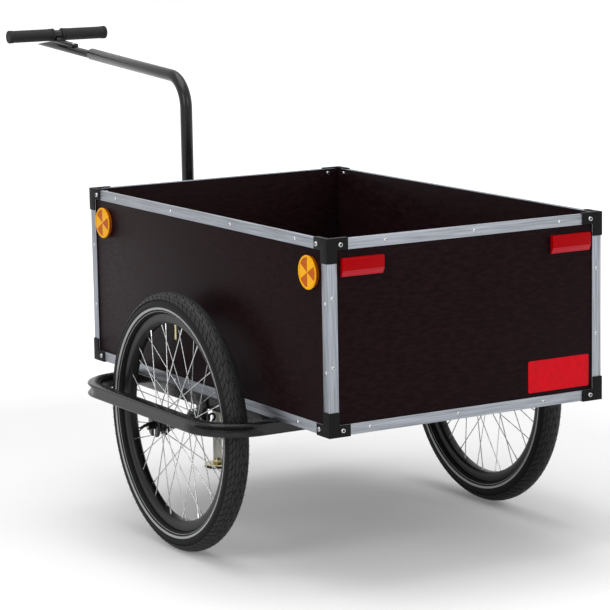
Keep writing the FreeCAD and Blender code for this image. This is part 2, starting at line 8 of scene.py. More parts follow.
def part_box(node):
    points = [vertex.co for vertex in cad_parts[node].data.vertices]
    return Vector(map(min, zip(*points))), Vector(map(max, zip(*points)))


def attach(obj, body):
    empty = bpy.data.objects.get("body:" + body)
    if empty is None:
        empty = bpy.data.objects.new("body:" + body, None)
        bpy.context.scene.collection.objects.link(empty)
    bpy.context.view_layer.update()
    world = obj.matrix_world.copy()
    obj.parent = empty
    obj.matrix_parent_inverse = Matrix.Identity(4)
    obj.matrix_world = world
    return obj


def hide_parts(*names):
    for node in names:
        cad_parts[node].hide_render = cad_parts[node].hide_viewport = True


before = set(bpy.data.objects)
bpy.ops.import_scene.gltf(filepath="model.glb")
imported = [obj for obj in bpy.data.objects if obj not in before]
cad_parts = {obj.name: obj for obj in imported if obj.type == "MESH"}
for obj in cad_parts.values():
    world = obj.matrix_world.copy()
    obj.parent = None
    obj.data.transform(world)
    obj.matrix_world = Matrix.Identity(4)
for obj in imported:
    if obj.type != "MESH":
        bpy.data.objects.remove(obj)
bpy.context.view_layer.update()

bl_info = {
    "name": "Bicycle cargo trailer",
    "version": (1, 0, 0),
    "blender": (4, 5, 0),
    "location": "View3D > Sidebar > Trailer",
    "description": "Builds the finishes and small parts of a bicycle cargo trailer round its packed frame",
    "category": "Object",
}

MM = 0.001
BODY_OF_SIDE = {"left": "left_wheel", "right": "right_wheel"}
SIDES = {"left": 1, "right": -1}


def linear(code):
    """sRGB hex to a linear colour with alpha."""
    channels = [int(code[i:i + 2], 16) / 255 for i in (1, 3, 5)]
    return tuple(c / 12.92 if c <= 0.04045 else ((c + 0.055) / 1.055) ** 2.4 for c in channels) + (1.0,)


def colour_property(name, description, code):
    return bpy.props.FloatVectorProperty(
        name=name, description=description, subtype="COLOR", size=4, min=0, max=1, default=linear(code))


def length_property(name, description, millimetres):
    return bpy.props.FloatProperty(
        name=name, description=description, unit="LENGTH", min=0, default=millimetres * MM, precision=5)


class TrailerColours(bpy.types.PropertyGroup):
    """Colours that a user would change"""
    film: colour_property("Film", "Phenolic film on the plywood", "#1b0e11")
    enamel: colour_property("Enamel", "Powder coat on the steel tubes", "#121213")
    aluminium: colour_property("Aluminium", "Mill finish of the box edging", "#92969d")
    moulding: colour_property("Corner caps", "Moulded corner caps", "#131314")
    amber: colour_property("Amber", "Bright sectors of the side reflectors", "#ffb000")
    red: colour_property("Red", "Rear reflectors", "#a80008")
    label: colour_property("Label", "Plain label on the rear panel", "#d3091c")
    rubber: colour_property("Rubber", "Tyres", "#161617")


class TrailerSizes(bpy.types.PropertyGroup):
    """Sizes that a user would change"""
    tread_depth: length_property("Tread depth", "Height of the tread blocks", 2.4)
    rivet_radius: length_property("Rivet radius", "Radius of a blind rivet's head", 3.9)
    screw_radius: length_property("Screw radius", "Radius of a corner cap's screw head", 4.6)
    edge_softness: length_property("Edge softness", "Rounding of the panels' and angles' edges", 0.5)
    rib_pitch: length_property("Rib pitch", "Spacing of the grips' ribs", 3.0)
    dent_depth: length_property("Bend dent", "How far a guard's outer wall sinks in its bends", 7.5)


# Finishes

def add(tree, kind, values=None, links=None, **settings):
    """Adds a node with its settings, its sockets' values and the links into it."""
    node = tree.nodes.new(kind)
    for name, value in settings.items():
        setattr(node, name, value)
    for socket, value in (values or {}).items():
        node.inputs[socket].default_value = value
    for socket, source in (links or {}).items():
        tree.links.new(source, node.inputs[socket])
    return node


def start_finish(name, **shader_values):
    material = bpy.data.materials.new(name)
    material.use_nodes = True
    tree = material.node_tree
    shader = tree.nodes["Principled BSDF"]
    for socket, value in shader_values.items():
        shader.inputs[socket.replace("_", " ")].default_value = value
    return material, tree, shader


def object_coordinates(tree, scale=(1, 1, 1)):
    place = add(tree, "ShaderNodeTexCoord")
    return add(tree, "ShaderNodeMapping", {"Scale": scale}, {"Vector": place.outputs["Object"]}).outputs[0]


NOISE_LOW, NOISE_HIGH = 0.3, 0.7
RELIEF = 0.5 * MM


def mottled(name, grain_mm, dark, light, roughness, bump, detail=4.0, stretch=(1, 1, 1), **shader_values):
    """Finish whose colour, roughness and relief all vary with one noise of the given grain."""
    material, tree, shader = start_finish(name, **shader_values)
    noise = add(tree, "ShaderNodeTexNoise", {"Scale": 1 / (grain_mm * MM), "Detail": detail},
                {"Vector": object_coordinates(tree, stretch)})
    ramp = add(tree, "ShaderNodeValToRGB", None, {"Fac": noise.outputs["Fac"]})
    for element, position, colour in zip(ramp.color_ramp.elements, (NOISE_LOW, NOISE_HIGH), (dark, light)):
        element.position = position
        element.color = colour
    gloss = add(tree, "ShaderNodeMapRange", {"From Min": NOISE_LOW, "From Max": NOISE_HIGH,
                                             "To Min": roughness[0], "To Max": roughness[1]},
                {"Value": noise.outputs["Fac"]})
    relief = add(tree, "ShaderNodeBump", {"Strength": bump, "Distance": RELIEF}, {"Height": noise.outputs["Fac"]})
    tree.links.new(ramp.outputs["Color"], shader.inputs["Base Color"])
    tree.links.new(gloss.outputs["Result"], shader.inputs["Roughness"])
    tree.links.new(relief.outputs["Normal"], shader.inputs["Normal"])
    return material


def tinted(colour, factor):
    return tuple(min(1.0, c * factor) for c in colour[:3]) + (1.0,)


def colours():
    return bpy.context.scene.trailer_colours


def sizes():
    return bpy.context.scene.trailer_sizes


def film_faced_plywood():
    """Phenolic film pressed on birch ply: very dark brown, smooth, with a faint grain along the panel."""
    base = colours().film
    return mottled("film faced plywood", 6.0, tinted(base, 0.6), tinted(base, 1.4), (0.34, 0.46), 0.12, 8.0,
                   (0.3, 0.3, 1.0), IOR=1.5, Specular_IOR_Level=0.03)


def rolled_aluminium(axis):
    """Extruded aluminium, mill finish: fine lines run along the bar."""
    base = colours().aluminium
    stretch = [1.0, 1.0, 1.0]
    stretch[axis] = 0.03
    return mottled("mill finish aluminium " + "xyz"[axis], 2.6, tinted(base, 0.68), tinted(base, 1.24),
                   (0.34, 0.52), 0.25, 4.0, stretch, Metallic=1.0)


def moulded_plastic():
    """Injection moulded nylon, black, spark-eroded texture: satin with fine grit."""
    base = colours().moulding
    return mottled("moulded black nylon", 1.6, tinted(base, 0.8), tinted(base, 1.35), (0.4, 0.55), 0.2,
                   IOR=1.5, Specular_IOR_Level=0.08)


def powder_coat():
    """Black powder coat on steel: satin, with a slight orange peel."""
    base = colours().enamel
    return mottled("black powder coat", 3.0, tinted(base, 0.8), tinted(base, 1.3), (0.2, 0.3), 0.1,
                   IOR=1.5, Specular_IOR_Level=0.3)


def anodised_black():
    """Black anodised aluminium of rim and hub: dark, faintly metallic, slightly uneven."""
    return mottled("black anodised aluminium", 2.5, linear("#0a0a0b"), linear("#1a1a1b"), (0.3, 0.45), 0.12,
                   Metallic=0.5)


def tyre_rubber():
    """Vulcanised rubber of the sidewall and the groove floors: matt black."""
    base = colours().rubber
    return mottled("tyre rubber", 2.0, tinted(base, 0.5), tinted(base, 1.1), (0.5, 0.7), 0.3,
                   IOR=1.5, Specular_IOR_Level=0.14)


def tread_rubber():
    """Tread blocks: the same rubber, greyer partly from the mould's bloom and dust on it and partly as painted
    highlight on the block tops.
    """
    base = colours().rubber
    # Tinted 1.2 to 3.4 times the rubber: dust and painted highlight together, set against the darker carcass in
    # the grooves.
    return mottled("tyre tread rubber", 3.0, tinted(base, 1.2), tinted(base, 3.4), (0.46, 0.62), 0.4,
                   IOR=1.5, Specular_IOR_Level=0.2)


def reflective_tape():
    """Glass-bead reflective band on the sidewall: silver grey, finely speckled."""
    return mottled("reflective sidewall band", 1.2, linear("#85868a"), linear("#b0b1b2"), (0.35, 0.5), 0.1,
                   Metallic=0.3)


def stainless_wire():
    """Drawn stainless spoke wire: bright, its die marks too fine to see, so mottled."""
    return mottled("drawn stainless wire", 4.0, linear("#a4a6a8"), linear("#dadbdc"), (0.16, 0.28), 0.05,
                   Metallic=1.0)


def zinc_plate():
    """Bright zinc plated steel tube: silvery with a faint yellow cast."""
    return mottled("bright zinc plate", 14.0, linear("#6f716e"), linear("#b4b2a6"), (0.06, 0.16), 0.06, 4.0,
                   (1.0, 1.0, 0.25), Metallic=1.0)


def yellow_zinc():
    """Yellow passivated zinc: pale brass, slightly uneven."""
    return mottled("yellow zinc", 3.0, linear("#8f8560"), linear("#c9c09a"), (0.16, 0.28), 0.06, Metallic=1.0)


def bright_steel():
    """Rivet and screw steel: bright, lightly scuffed."""
    return mottled("bright steel", 1.2, linear("#9a9c9f"), linear("#cfd0d2"), (0.2, 0.34), 0.1, Metallic=1.0)


def painted_shade_fastener_recess():
    """Bottom of a screw's drive or a rivet's dimple: dull steel, darkened as painted shade of the recess."""
    return mottled("shaded fastener recess", 0.8, linear("#1a1a1b"), linear("#3a3a3c"), (0.5, 0.7), 0.1,
                   Metallic=0.6)


def grip_rubber():
    """Moulded rubber grip: matt, very dark grey, slightly dusty."""
    return mottled("grip rubber", 1.4, linear("#131314"), linear("#252526"), (0.5, 0.66), 0.25,
                   IOR=1.5, Specular_IOR_Level=0.22)


def vinyl_label():
    """Plain vinyl sticker: even red with a soft gloss and faint paper texture under it."""
    base = colours().label
    return mottled("plain vinyl", 12.0, tinted(base, 0.9), tinted(base, 1.08), (0.3, 0.4), 0.04,
                   IOR=1.46, Specular_IOR_Level=0.1)


PRISM_CELL_MM = 3.0


def reflector_lens(name, dark, light, strength):
    """Moulded acrylic over corner-cube prisms: deep colour, glinting cells about 3 mm across."""
    material, tree, shader = start_finish(name, IOR=1.49, Specular_IOR_Level=0.06, Roughness=0.2)
    cells = add(tree, "ShaderNodeTexVoronoi", {"Scale": 1 / (PRISM_CELL_MM * MM), "Randomness": 0.15},
                {"Vector": object_coordinates(tree)})
    ramp = add(tree, "ShaderNodeValToRGB", None, {"Fac": cells.outputs["Distance"]})
    ramp.color_ramp.elements[0].color = light
    ramp.color_ramp.elements[1].color = dark
    ramp.color_ramp.elements[1].position = 0.8
    relief = add(tree, "ShaderNodeBump", {"Strength": strength, "Distance": 0.0008},
                 {"Height": cells.outputs["Distance"]})
    tree.links.new(ramp.outputs["Color"], shader.inputs["Base Color"])
    tree.links.new(relief.outputs["Normal"], shader.inputs["Normal"])
    return material


def amber_lens():
    base = colours().amber
    return reflector_lens("amber prism lens", tinted(base, 0.82), tinted(base, 1.2), 0.2)


def deep_amber_lens():
    # Deep finish: the darker sectors' own colour, and painted shade on the lenses' side walls.
    base = colours().amber
    orange = (base[0] * 0.5, base[1] * 0.22, 0.0, 1.0)
    return reflector_lens("deep amber prism lens", tinted(orange, 0.75), tinted(orange, 1.25), 0.2)


def red_lens():
    base = colours().red
    return reflector_lens("red prism lens", tinted(base, 0.6), tinted(base, 1.4), 0.3)


def pale_red_lens():
    return reflector_lens("pale red lens edge", linear("#b01824"), linear("#cf3f4a"), 0.15)


FINISHES = {
    "film": film_faced_plywood, "aluminium_x": lambda: rolled_aluminium(0),
    "aluminium_y": lambda: rolled_aluminium(1), "aluminium_z": lambda: rolled_aluminium(2),
    "nylon": moulded_plastic, "enamel": powder_coat, "anodised": anodised_black, "tyre": tyre_rubber,
    "tread": tread_rubber, "recess": painted_shade_fastener_recess, "stripe": reflective_tape, "wire": stainless_wire,
    "zinc": zinc_plate, "yellow_zinc": yellow_zinc, "steel": bright_steel, "grip": grip_rubber,
    "label": vinyl_label, "amber": amber_lens, "deep_amber": deep_amber_lens, "red": red_lens,
    "pale_red": pale_red_lens,
}
made_finishes = {}


def finish(name):
    if name not in made_finishes:
        made_finishes[name] = FINISHES[name]()
    return made_finishes[name]


# Making pieces

def new_piece(name, bm, finishes, body, replaces=(), crease_deg=35.0):
    """Turns a bmesh into a finished piece that rides on a body."""
    mesh = bpy.data.meshes.new(name)
    bm.to_mesh(mesh)
    bm.free()
    for finish_name in finishes:
        mesh.materials.append(finish(finish_name))
    mesh.shade_smooth()
    mesh.set_sharp_from_angle(angle=math.radians(crease_deg))
    piece = bpy.data.objects.new(name, mesh)
    bpy.context.scene.collection.objects.link(piece)
    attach(piece, body)
    if replaces:
        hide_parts(*replaces)


def centre(node):
    low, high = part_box(node)
    return (low + high) / 2


def merged_copy(node):
    """A bmesh copy of a CAD node, its loose triangles joined and its flats made whole."""
    bm = bmesh.new()
    bm.from_mesh(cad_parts[node].data)
    bmesh.ops.remove_doubles(bm, verts=bm.verts, dist=0.01 * MM)
    bmesh.ops.dissolve_limit(bm, angle_limit=math.radians(0.4), verts=bm.verts, edges=bm.edges)
    return bm


def soften(bm, width, corner_deg=50.0, segments=2):
    """Bevels every edge whose faces meet at more than the angle."""
    corners = [edge for edge in bm.edges
               if len(edge.link_faces) == 2 and edge.calc_face_angle() > math.radians(corner_deg)]
    bmesh.ops.bevel(bm, geom=corners, offset=width, offset_type="OFFSET", segments=segments, profile=0.5,
                    affect="EDGES", material=-1, clamp_overlap=True)


def finished_copy(node, finishes, slot, body, softness, **soften_settings):
    """A softened copy of a CAD node that stands for it."""
    bm = merged_copy(node)
    soften(bm, softness, **soften_settings)
    new_piece("finished_" + node, bm, finishes, body, [node])


def islands(bm):
    """Lists of faces that hang together."""
    left = set(bm.faces)
    groups = []
    while left:
        stack = [left.pop()]
        group = []
        while stack:
            face = stack.pop()
            group.append(face)
            for edge in face.edges:
                for other in edge.link_faces:
                    if other in left:
                        left.remove(other)
                        stack.append(other)
        groups.append(group)
    return groups


def span(faces):
    """Lowest and highest corners of some faces."""
    points = [vert.co for face in faces for vert in face.verts]
    return (Vector([min(p[i] for p in points) for i in range(3)]),
            Vector([max(p[i] for p in points) for i in range(3)]))


def island_boxes(node):
    """(lowest, highest) corners of each separate solid of a CAD node."""
    bm = merged_copy(node)
    boxes = [span(group) for group in islands(bm)]
    bm.free()
    return boxes


def close_ring(verts):
    """Pairs of neighbours round a closed list."""
    return list(zip(verts, verts[1:] + verts[:1]))


def join_rings(bm, first, second):
    """Faces between two rings of as many vertices."""
    for (a, b), (c, d) in zip(close_ring(first), close_ring(second)):
        bm.faces.new((a, b, d, c))


def towards(direction):
    """Rotation that turns +Z to the direction."""
    return Vector(direction).to_track_quat("Z", "Y").to_matrix().to_4x4()


def add_rod(bm, start, end, radius, end_radius=None, segments=16):
    """A closed round bar, or a cone if the end radius differs."""
    place = Matrix.Translation((start + end) / 2) @ towards(end - start)
    bmesh.ops.create_cone(
        bm, cap_ends=True, cap_tris=False, segments=segments, radius1=radius,
        radius2=radius if end_radius is None else end_radius, depth=(end - start).length, matrix=place)


def add_bent_rod(bm, points, radius, end_radius=None, segments=10):
    """Round bars from each point to the next."""
    for start, end in zip(points, points[1:]):
        add_rod(bm, start, end, radius, end_radius, segments)


def add_turned(bm, outline, origin, axis, steps, closed=False):
    """Spins an outline of (radius, height along the axis) points into a turned shape."""
    turn = towards(axis)
    verts = [bm.verts.new(Matrix.Translation(origin) @ turn @ Vector((r, 0, h))) for r, h in outline]
    pairs = close_ring(verts) if closed else list(zip(verts, verts[1:]))
    edges = [bm.edges.new(pair) for pair in pairs]
    bmesh.ops.spin(bm, geom=verts + edges, cent=origin, axis=turn.to_3x3() @ Vector((0, 0, 1)),
                   angle=math.tau, steps=steps, use_merge=True)
    bmesh.ops.remove_doubles(bm, verts=bm.verts, dist=0.002 * MM)


def turned_piece(name, outline, origin, axis, steps, finish_name, body, replaces=()):
    bm = bmesh.new()
    add_turned(bm, outline, origin, axis, steps, closed=True)
    bmesh.ops.recalc_face_normals(bm, faces=bm.faces)
    new_piece(name, bm, [finish_name], body, replaces)


def stamp(bm, template, place):
    """Adds a copy of a template mesh at a place."""
    before = len(bm.verts)
    bm.from_mesh(template)
    bm.verts.ensure_lookup_table()
    bmesh.ops.transform(bm, matrix=place, verts=bm.verts[before:])


def template_mesh(name, bm):
    mesh = bpy.data.meshes.new(name)
    bm.to_mesh(mesh)
    bm.free()
    return mesh


RIVET_HEAD = [(0, 0.12), (0.3, 0.12), (0.36, 0.42), (0.62, 0.38), (0.88, 0.2), (1.0, 0.0), (0.9, -0.15)]
HEAD_STEPS = 14
SCREW_HEAD = [(0, 0.1), (0.5, 0.1), (0.54, 0.52), (0.8, 0.5), (0.96, 0.3), (1.0, 0.0), (0.9, -0.15)]


def head_template(outline, radius):
    """Turned fastener head standing on z = 0, its recess in the second finish."""
    bm = bmesh.new()
    add_turned(bm, [(r * radius, h * radius) for r, h in outline], Vector((0, 0, 0)), (0, 0, 1), HEAD_STEPS)
    open_edges = [edge for edge in bm.edges if edge.is_boundary]
    bmesh.ops.edgeloop_fill(bm, edges=open_edges)
    bmesh.ops.recalc_face_normals(bm, faces=bm.faces)
    # Faces inside the recess take the second, dark finish: painted shade in the drive or dimple.
    recess_radius = outline[1][0] * radius * 1.02
    for face in bm.faces:
        inside = all(vert.co.xy.length < recess_radius and vert.co.z > 0 for vert in face.verts)
        face.material_index = 1 if inside else 0
    return template_mesh("fastener head", bm)


def fasteners(name, places, outline, radius):
    """Heads at (point, outward direction) places, as one piece on the chassis."""
    template = head_template(outline, radius)
    bm = bmesh.new()
    for point, outward in places:
        stamp(bm, template, Matrix.Translation(point) @ towards(outward))
    new_piece(name, bm, ["steel", "recess"], "chassis")


# Box

def box_faces():
    """Lowest and highest corners of the aluminium frame."""
    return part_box("corner_posts")


def make_panels():
    for node in ("floor_panel", "side_panel_left", "side_panel_right", "end_panel_front", "end_panel_rear"):
        finished_copy(node, ["film"], "film_faced_plywood", "chassis", sizes().edge_softness)


def make_edging():
    """Rails and posts, each bar with the finish whose lines run its way."""
    for node in ("top_rails", "bottom_rails", "corner_posts"):
        bm = merged_copy(node)
        for group in islands(bm):
            low, high = span(group)
            lengths = list(high - low)
            for face in group:
                face.material_index = lengths.index(max(lengths))
        soften(bm, sizes().edge_softness)
        new_piece("finished_" + node, bm, ["aluminium_x", "aluminium_y", "aluminium_z"], "chassis",
                  [node])


CAP_SOFTNESS = 0.9 * MM


def make_corner_caps():
    for node in ("top_corner_caps", "bottom_corner_caps"):
        finished_copy(node, ["nylon"], "black_plastic", "chassis", CAP_SOFTNESS, segments=3)


RAIL_INSET = 10.0 * MM
SIDE_RIVET_PITCH = 236.0 * MM
END_RIVET_PITCH = 190.0 * MM
TOP_END_SHIFT = -14.0 * MM
BOTTOM_END_SHIFT = 23.0 * MM
POST_RIVET_RISE = 62.0 * MM
REAR_RIVET_LIFT = 10.0 * MM
CAP_SCREW_IN = 33.0 * MM
END_SCREW_IN = 26.4 * MM


def make_rivets():
    low, high = box_faces()
    middle = (low + high) / 2
    places = []
    for z, shift in ((high.z - RAIL_INSET, TOP_END_SHIFT), (low.z + RAIL_INSET, BOTTOM_END_SHIFT)):
        for sy, y in ((1, high.y), (-1, low.y)):
            for step in (-1.5, -0.5, 0.5, 1.5):
                places.append((Vector((middle.x + step * SIDE_RIVET_PITCH, y, z)), (0, sy, 0)))
        for sx, x in ((1, high.x), (-1, low.x)):
            for step in (-1, 0, 1):
                places.append((Vector((x, middle.y + shift + step * END_RIVET_PITCH, z)), (sx, 0, 0)))
    for sx, x in ((1, high.x), (-1, low.x)):
        for sy, y in ((1, high.y), (-1, low.y)):
            for rise in (-1, 1):
                z = middle.z + rise * POST_RIVET_RISE
                places.append((Vector((x - sx * RAIL_INSET, y, z)), (0, sy, 0)))
                places.append((Vector((x, y - sy * RAIL_INSET, z + REAR_RIVET_LIFT)), (sx, 0, 0)))
    fasteners("frame_rivets", places, RIVET_HEAD, sizes().rivet_radius)


def make_cap_screws():
    """A screw in each arm of the caps, and in the top caps one more from inside the box."""
    low, high = box_faces()
    middle = (low + high) / 2
    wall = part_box("top_corner_caps")[1].x - high.x
    inner_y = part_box("side_panel_left")[0].y
    inner_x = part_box("end_panel_front")[0].x - middle.x
    top_z = high.z - RAIL_INSET
    places = []
    for sx, x in ((1, high.x), (-1, low.x)):
        for sy, y in ((1, high.y), (-1, low.y)):
            for z in (top_z, low.z + RAIL_INSET):
                places.append((Vector((x - sx * CAP_SCREW_IN, y + sy * wall, z)), (0, sy, 0)))
                places.append((Vector((x + sx * wall, y - sy * END_SCREW_IN, z)), (sx, 0, 0)))
            places.append((Vector((x - sx * CAP_SCREW_IN, sy * inner_y, top_z)), (0, -sy, 0)))
            places.append((Vector((middle.x + sx * inner_x, y - sy * CAP_SCREW_IN, top_z)), (-sx, 0, 0)))
    fasteners("corner_cap_screws", places, SCREW_HEAD, sizes().screw_radius)


REFLECTOR_SECTORS = 6
FIRST_SECTOR = math.radians(30)
LENS_SHARE = 0.86
SHADED_WALL_SHARE = 0.75
LENS_OUTLINE = [(0, 0.86), (0.3, 0.86), (0.6, 0.85), (LENS_SHARE, 0.82), (0.88, 0.95), (0.93, 1.0), (0.98, 0.93),
                (1.0, 0.8), (0.97, 0.35), (0.95, 0.0), (0, 0.0)]


def make_side_reflectors():
    """Four round lenses: six sectors by turns bright and deep, a smooth rim, and a side wall in the deep finish as
    painted shade.
    """
    bm = bmesh.new()
    for low, high in island_boxes("side_reflectors"):
        side = 1 if (low.y + high.y) > 0 else -1
        radius = (high.z - low.z) / 2
        depth = high.y - low.y
        origin = Vector(((low.x + high.x) / 2, low.y if side > 0 else high.y, (low.z + high.z) / 2))
        before = len(bm.faces)
        add_turned(bm, [(r * radius, h * depth) for r, h in LENS_OUTLINE], origin, (0, side, 0), 60)
        bm.faces.ensure_lookup_table()
        for face in bm.faces[before:]:
            offset = face.calc_center_median() - origin
            angle = math.atan2(offset.z, offset.x * side)
            sector = int((angle + FIRST_SECTOR) % math.tau / math.tau * REFLECTOR_SECTORS)
            inside = math.hypot(offset.x, offset.z) < LENS_SHARE * radius
            wall = abs(offset.y) < SHADED_WALL_SHARE * depth
            # The side wall takes the deep finish as painted shade on the lens's edge; the alternate sectors take
            # it as their own darker colour.
            face.material_index = 1 if wall or (inside and sector % 2 == 1) else 0
    bmesh.ops.recalc_face_normals(bm, faces=bm.faces)
    new_piece("amber_side_reflectors", bm, ["amber", "deep_amber"], "chassis",
              ["side_reflectors"])


BAR_SECTION = [(0.0, 0.0), (0.4, 0.0), (1.0, 0.32), (1.0, 0.93), (0.8, 1.0), (0.0, 1.0)]


def make_rear_reflectors():
    """Red bars: a flat prism face over a paler band that slopes back to the lower edge."""
    bm = bmesh.new()
    for low, high in island_boxes("rear_reflectors"):
        depth, height = high.x - low.x, high.z - low.z
        ends = [[bm.verts.new((high.x - out * depth, y, low.z + up * height)) for out, up in BAR_SECTION]
                for y in (low.y, high.y)]
        bm.faces.new(ends[0])
        bm.faces.new(ends[1][::-1])
        join_rings(bm, *ends)
    bmesh.ops.recalc_face_normals(bm, faces=bm.faces)
    for face in bm.faces:
        face.material_index = 1 if face.normal.z < -0.3 and face.normal.x < -0.3 else 0
    soften(bm, 0.7 * MM, corner_deg=20.0)
    new_piece("red_rear_reflectors", bm, ["red", "pale_red"], "chassis", ["rear_reflectors"])


LABEL_CORNER = 3 * MM
LABEL_THICKNESS_LEAST = 0.2 * MM


def make_label():
    """Plain label with rounded corners."""
    bm = merged_copy("rear_label")
    corners = [edge for edge in bm.edges
               if abs(edge.verts[0].co.x - edge.verts[1].co.x) > LABEL_THICKNESS_LEAST]
    bmesh.ops.bevel(bm, geom=corners, offset=LABEL_CORNER, offset_type="OFFSET", segments=4, profile=0.5,
                    affect="EDGES", material=-1, clamp_overlap=True)
    new_piece("plain_rear_label", bm, ["label"], "chassis", ["rear_label"])


# Wheels

TREAD_PITCHES = 44
SHOULDER_START = math.radians(62)
SHOULDER_END = math.radians(84)
TYRE_STEPS = 120
SIDEWALL_BANDS = ((101, 112), (121, 123))


class TyreShape:
    """Sizes of one tyre, read from its CAD node."""

    def __init__(self, node):
        low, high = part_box(node)
        self.middle = (low + high) / 2
        self.radius = (high.z - low.z) / 2
        self.half_width = (high.y - low.y) / 2
        self.tread = sizes().tread_depth
        self.core = self.radius - self.half_width
        self.crown = self.half_width - self.tread

    def section_radius(self, angle):
        """Distance of the rubber's surface from the section's centre, by angle from the crown."""
        share = (abs(angle) - SHOULDER_START) / (SHOULDER_END - SHOULDER_START)
        share = max(0.0, min(1.0, share))
        return self.crown + (self.tread - 0.1 * MM) * share * share * (3 - 2 * share)

    def point(self, round_angle, section_angle, height=0.0):
        reach = self.section_radius(section_angle) + height
        r = self.core + reach * math.cos(section_angle)
        return self.middle + Vector((r * math.cos(round_angle), reach * math.sin(section_angle),
                                     r * math.sin(round_angle)))

    def profile(self, section_angle, height=0.0):
        """(radius, sideways) of a section point, for turning."""
        reach = self.section_radius(section_angle) + height
        return self.core + reach * math.cos(section_angle), reach * math.sin(section_angle)


BEAD_ANGLE = math.radians(128)
HALF_SECTION_STEPS = 17
CROWN_THICKNESS = 7 * MM
# Bead, from the sidewall round its toe to the inside: (above the rim's lip, sideways)
BEAD_OUTLINE = [(0.7, 14.5), (0.6, 11.0), (-4.0, 10.2), (-4.0, 8.0), (4.0, 8.6), (12.0, 15.0)]


def make_tyre(side):
    """Carcass with its beads, the sidewall bands, the tread and the whiskers."""
    node = "tyre_" + side
    shape = TyreShape(node)
    rim_low, rim_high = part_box("rim_" + side)
    lip = (rim_high.z - rim_low.z) / 2
    half = [shape.profile(BEAD_ANGLE * step / HALF_SECTION_STEPS) for step in range(HALF_SECTION_STEPS + 1)]
    half += [(lip + rise * MM, y * MM) for rise, y in BEAD_OUTLINE]
    outline = half + [(shape.radius - CROWN_THICKNESS, 0.0)] + [(r, -y) for r, y in reversed(half[1:])]
    turned_piece("carcass_" + side, outline, shape.middle, (0, 1, 0), TYRE_STEPS, "tyre",
                 BODY_OF_SIDE[side], [node])
    bm = bmesh.new()
    for start_deg, end_deg in SIDEWALL_BANDS:
        start, end = math.radians(start_deg), math.radians(end_deg)
        for sign in (1, -1):
            outline = [shape.profile(sign * angle, height * MM) for angle, height in
                       ((start, -0.3), (start, 0.25), ((start + end) / 2, 0.3), (end, 0.25), (end, -0.3))]
            add_turned(bm, outline, shape.middle, (0, 1, 0), TYRE_STEPS, closed=True)
    bmesh.ops.recalc_face_normals(bm, faces=bm.faces)
    new_piece("sidewall_band_" + side, bm, ["stripe"], BODY_OF_SIDE[side])
    make_tread(side, shape)
    make_moulding_hairs(side, shape)


def block_template():
    """Unit block with softened top edges, cut twice across so that it can follow the tyre's crown."""
    bm = bmesh.new()
    bmesh.ops.create_cube(bm, size=1.0)
    for cut in (-0.17, 0.17):
        geometry = list(bm.verts) + list(bm.edges) + list(bm.faces)
        bmesh.ops.bisect_plane(bm, geom=geometry, plane_co=(0, cut, 0), plane_no=(0, 1, 0))
    top = [edge for edge in bm.edges if all(vert.co.z > 0.49 for vert in edge.verts)
           and len(edge.link_faces) == 2 and edge.calc_face_angle() > 1]
    bmesh.ops.bevel(bm, geom=top, offset=0.05, offset_type="OFFSET", segments=1, profile=0.5,
                    affect="EDGES", material=-1, clamp_overlap=True)
    return template_mesh("tread block", bm)


def add_block(bm, template, shape, start, length, inner, outer, skew, sink):
    """A tread block: start and length run round the tyre, inner and outer across it, all in metres."""
    before = len(bm.verts)
    bm.from_mesh(template)
    bm.verts.ensure_lookup_table()
    for vert in bm.verts[before:]:
        across = inner + (outer - inner) * (vert.co.y + 0.5)
        along = start + length * (vert.co.x + 0.5) + skew * abs(across)
        reach = shape.crown - sink + (shape.tread + sink - 0.05 * MM) * (vert.co.z + 0.5)
        section_angle = across / (shape.crown + shape.tread)
        r = shape.core + reach * math.cos(section_angle)
        round_angle = along / shape.radius
        vert.co = shape.middle + Vector((r * math.cos(round_angle), reach * math.sin(section_angle),
                                         r * math.sin(round_angle)))


TREAD_GROOVE = 3.0 * MM
# Rows of blocks: inner edge, outer edge, skew, root below the rubber, blocks a pitch, shift and groove as shares
TREAD_ROWS = ((0.3, 5.4, 1.5, 0.5, 1, 0.0, 1.0), (5.9, 12.0, 1.6, 0.5, 1, 0.25, 1.0),
              (12.7, 18.8, 1.5, 0.6, 2, 0.0, 0.7), (19.5, 26.0, 1.2, 0.9, 2, 0.35, 0.9))


def make_tread(side, shape):
    """Chevron tread: rows of slanted blocks, the outer rows with two to a pitch."""
    template = block_template()
    pitch = math.tau * shape.radius / TREAD_PITCHES
    bm = bmesh.new()
    for number in range(TREAD_PITCHES):
        for sign in (1, -1):
            start = number * pitch + (0.0 if sign > 0 else pitch / 2)
            for inner, outer, skew, sink, blocks, shift, groove in TREAD_ROWS:
                share = pitch / blocks
                for block in range(blocks):
                    add_block(bm, template, shape, start + (block + shift) * share, share - groove * TREAD_GROOVE,
                              sign * inner * MM, sign * outer * MM, skew, sink * MM)
    bmesh.ops.recalc_face_normals(bm, faces=bm.faces)
    new_piece("tread_" + side, bm, ["tread"], BODY_OF_SIDE[side])


WHISKER_ROWS = ((28, 1.7), (62, 2.4))  # angle from the crown, length past the tread in mm


def make_moulding_hairs(side, shape):
    """Short rubber whiskers left by the mould's vents, in two rows on each shoulder."""
    bm = bmesh.new()
    whiskers = 2 * TREAD_PITCHES
    for number in range(whiskers):
        round_angle = math.tau * (number + 0.3) / whiskers
        for row_deg, length in WHISKER_ROWS:
            for sign in (1, -1):
                section_angle = sign * math.radians(row_deg)
                foot = shape.point(round_angle, section_angle, shape.tread - 0.5 * MM)
                tip = shape.point(round_angle + 0.005, section_angle, shape.tread + length * MM)
                add_rod(bm, foot, tip, 0.4 * MM, 0.2 * MM, segments=4)
    new_piece("vent_whiskers_" + side, bm, ["tread"], BODY_OF_SIDE[side])


RIM_SEAT_DROP = 6 * MM    # bead seat below the lip
RIM_DEPTH = 13 * MM       # inner face below the bead seat


